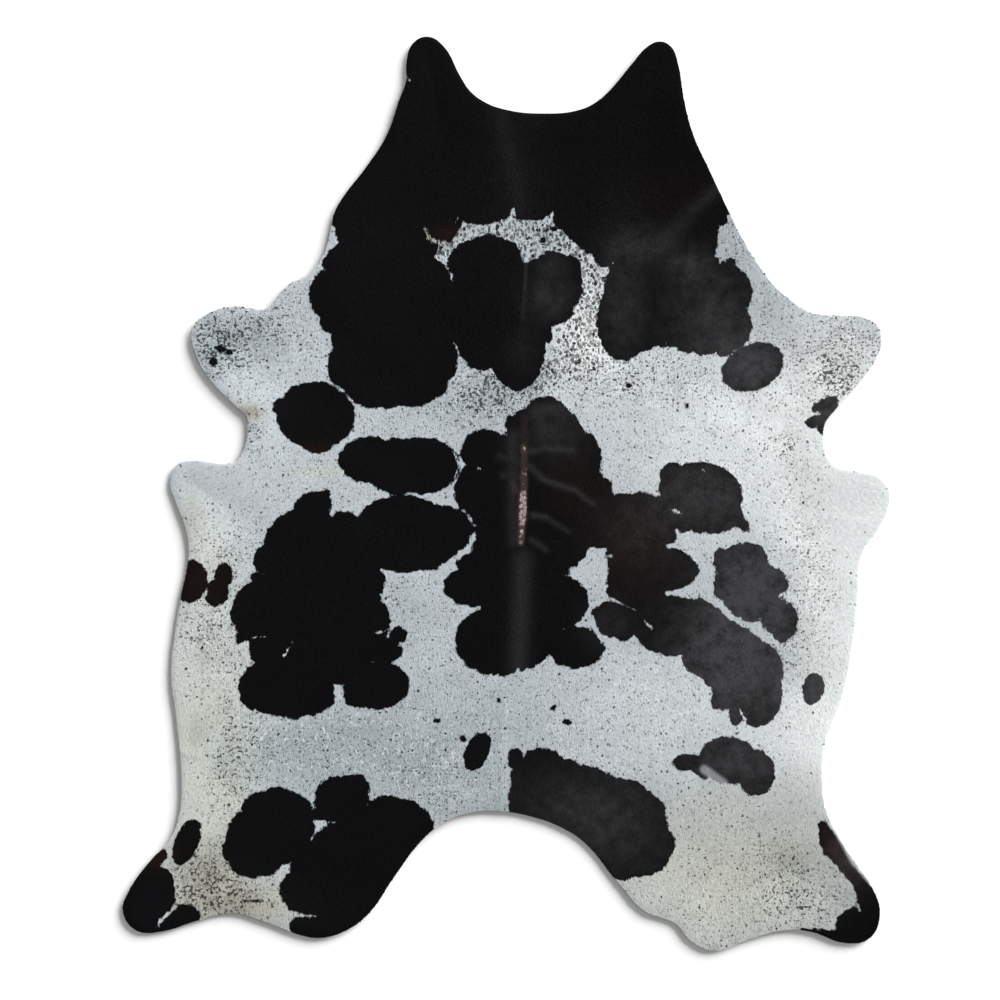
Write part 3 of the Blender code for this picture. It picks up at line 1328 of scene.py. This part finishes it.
def ground_colour(tree, field):
    """The white hair: its tints, among them painted light on the right and painted shade on the
    left and lower side, a mottling and a tone of its own for each lock, both fainter where
    there are few specks, and pale scars."""
    white = layered(
        tree, linear("B7BDC1"),
        (field["cream"], linear("BEBFB4")),
        # Painted light on the right side, and whiter hair in the net.
        (field["white_and_painted_light"], linear("E9ECEC")),
        # Grey and dusky hair, with painted shade on the left and lower side.
        (field["grey_and_painted_shade"], linear("9FA8AA")),
        (field["dusky_and_painted_shade"], linear("9F9E93")),
    )
    shade = [field["tone"], TONE_SHARE, field["mottle"]]
    shade = add(tree, "Math", shade, operation="MULTIPLY_ADD")
    shade = add(tree, "MapRange", [shade, *SHADE_RAMP], clamp=False)
    strength = add(tree, "Math", [field["specks"], *SHADE_STRENGTH], operation="MULTIPLY_ADD")
    shade = add(tree, "Math", [shade, strength, 1.0], operation="MULTIPLY_ADD")
    white = add(tree, "VectorMath", {"Vector": white, "Scale": shade}, operation="SCALE")
    return layered(tree, white, (scar_share(tree, field), linear("E0E4E4")))


def black_colour(tree, field):
    """The black hair: rust in places, and lightened to charcoal by a painted sheen in clouds
    and over the creases, which stands in for light caught by the hair. It is frosted at some
    edges. Where it is rubbed the thin hair looks brown, and where that is thinnest, bits of
    bare skin show through."""
    # Painted sheen: the lighter spots thinned in clouds, with the creases' painted paleness on
    # top.
    cloud = add(tree, "MapRange", [field["sheen_clouds"], *SHEEN_CLOUD_RAMP])
    painted_sheen_amount = add(
        tree, "Math", [cloud, field["painted_sheen_spots"], field["sheen"]],
        operation="MULTIPLY_ADD", use_clamp=True,
    )
    bare = [field["rubbed"], RUBBED_SHARE, field["skin bits"]]
    bare = add(tree, "Math", bare, operation="MULTIPLY_ADD")
    bare = add(tree, "MapRange", [bare, *BARE_RAMP])
    skin = layered(tree, linear("7E6468"), (field["tone"], linear("CDBABD")))
    return layered(
        tree, linear("09090B"),
        (field["rust"], linear("22140F")),
        # Painted sheen: a lighter charcoal where light would catch the black hair.
        (painted_sheen_amount, linear("434345")),
        (field["frosted"], linear("B4B7B9")),
        (field["rubbed"], linear("4E3F38")),
        (bare, skin),
    )


def cattle_hair():
    """Short cattle hair, brushed flat: stiff and straight, black on white, with a low sheen.

    Each lock is nearly of one colour, so a patch ends in a fringe of locks.
    """
    material, tree, shader = new_material("brushed_cattle_hair", 0.55, 0.04)
    stored = ("patch", "specks", "net", "rubbed", "frosted", "sheen", "tone", *SPOT_FIELDS)
    field = {
        name: add(tree, "Attribute", attribute_name=name).outputs["Fac"] for name in stored
    }
    place = add(tree, "Attribute", attribute_name="place").outputs["Vector"]
    for name, noise in NOISES.items():
        inputs = {"Vector": place, "Scale": per_metre(noise.size_mm), "Detail": noise.detail}
        field[name] = add(tree, "TexNoise", {**inputs, "Roughness": noise.roughness})
    warp = [field["warp"].outputs["Color"], [MM * size for size in WARP_MM], place]
    field["warped"] = add(tree, "VectorMath", warp, operation="MULTIPLY_ADD")
    dark = patch_share(tree, field)
    for share in (net_share, speck_share):
        dark = add(tree, "Math", [dark, share(tree, field)], operation="MAXIMUM")
    colour = layered(tree, ground_colour(tree, field), (dark, black_colour(tree, field)))
    tree.links.new(colour, shader.inputs["Base Color"])
    shader.inputs["IOR"].default_value = 1.55
    return material


def suede():
    """The flesh side of chrome-tanned leather, shaved and buffed: a dull short nap."""
    material, tree, shader = new_material("buffed_suede_leather", 0.95, 0.2)
    place = add(tree, "TexCoord").outputs["Object"]
    nap = add(
        tree, "TexNoise",
        {"Vector": place, "Scale": per_metre(NAP_MM), "Detail": 6.0, "Roughness": 0.7},
    )
    fibre = {"Vector": place, "Scale": per_metre(FIBRE_MM), "Detail": 4.0}
    height = add(tree, "TexNoise", fibre)
    bump = {"Height": height, "Strength": 0.5, "Distance": FIBRE_DEPTH_MM * MM}
    normal = add(tree, "Bump", bump).outputs["Normal"]
    colour = layered(tree, linear("A79F92"), (nap, linear("C9C2B6")))
    tree.links.new(colour, shader.inputs["Base Color"])
    tree.links.new(normal, shader.inputs["Normal"])
    return material


def raw_edge():
    """The knife-cut edge of the leather: dull grey fibre between its two skins."""
    material, tree, shader = new_material("cut_leather_edge", 0.9, 0.2)
    place = add(tree, "TexCoord").outputs["Object"]
    fibre = {"Vector": place, "Scale": per_metre(CUT_FIBRE_MM), "Detail": 5.0}
    light = add(tree, "TexNoise", fibre)
    colour = layered(tree, linear("6F716C"), (light, linear("9C9C93")))
    tree.links.new(colour, shader.inputs["Base Color"])
    return material


def painted_floor():
    """A matt white studio floor."""
    material, _, shader = new_material("matt_white_floor", 1.0, 0.0)
    shader.inputs["Base Color"].default_value = linear("F7F7F7")
    return material


# ------------------------------------------------------------- floor, light, camera

# The photo is taken from straight above. At 2.5 mm a pixel its 1000 pixels span 2.5 m.
PICTURE_M = 2.5
PICTURE_MIDDLE_M = (-0.0155, -0.0160)
LENS_MM = 100.0
SENSOR_MM = 36.0

# The floor is drawn well past every view.
FLOOR_HALF_MM = 30000.0

# The key light stands low at the upper right, so the edge throws a soft shadow down to
# the left. A white surface lit by key and fill together comes out as its own colour.
KEY_WAY = (-0.71, -0.70)
KEY_ELEVATION_DEG = 12.0
KEY_SPREAD_DEG = 52.0
KEY_SHARE = 0.80
FILL_SHARE = 0.34


def build_floor():
    """A large flat floor at height 0."""
    half = FLOOR_HALF_MM
    corners = np.array([(-half, -half, 0), (half, -half, 0), (half, half, 0), (-half, half, 0)])
    floor = mesh_object("floor", corners, np.array([(0, 1, 2), (0, 2, 3)]), [painted_floor()])
    return floor


def build_lights():
    """A soft low key light and an even fill from all round."""
    elevation = np.radians(KEY_ELEVATION_DEG)
    key = bpy.data.lights.new("key", "SUN")
    key.angle = np.radians(KEY_SPREAD_DEG)
    key.energy = KEY_SHARE * np.pi / np.sin(elevation)
    lamp = bpy.data.objects.new("key", key)
    level_x, level_y = (part * np.cos(elevation) for part in KEY_WAY)
    way = Vector((level_x, level_y, -np.sin(elevation)))
    lamp.rotation_euler = way.to_track_quat("-Z", "Y").to_euler()
    bpy.context.scene.collection.objects.link(lamp)

    world = bpy.data.worlds.new("studio")
    world.use_nodes = True
    background = world.node_tree.nodes["Background"]
    background.inputs["Color"].default_value = (1.0, 1.0, 1.0, 1.0)
    background.inputs["Strength"].default_value = FILL_SHARE
    bpy.context.scene.world = world


def build_camera():
    """A camera straight above, its picture as wide as the photo's on the floor."""
    lens = bpy.data.cameras.new("camera")
    lens.lens = LENS_MM
    lens.sensor_width = SENSOR_MM
    lens.clip_end = 100.0
    camera = bpy.data.objects.new("camera", lens)
    camera.location = (*PICTURE_MIDDLE_M, PICTURE_M * LENS_MM / SENSOR_MM)
    bpy.context.scene.collection.objects.link(camera)
    bpy.context.scene.camera = camera


# ------------------------------------------------------------------------- the rug

build_camera()
build_lights()
build_floor()
bpy.context.scene.view_settings.view_transform = "Standard"

outline = outline_of(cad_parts[HIDE])
depths = DepthMap(outline)
hair = cattle_hair()
leather = build_leather(outline, depths, [hair, suede(), raw_edge()])
coat = build_coat(depths, hair)

for piece in [leather, *coat]:
    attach(piece, "root")
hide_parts(HIDE)
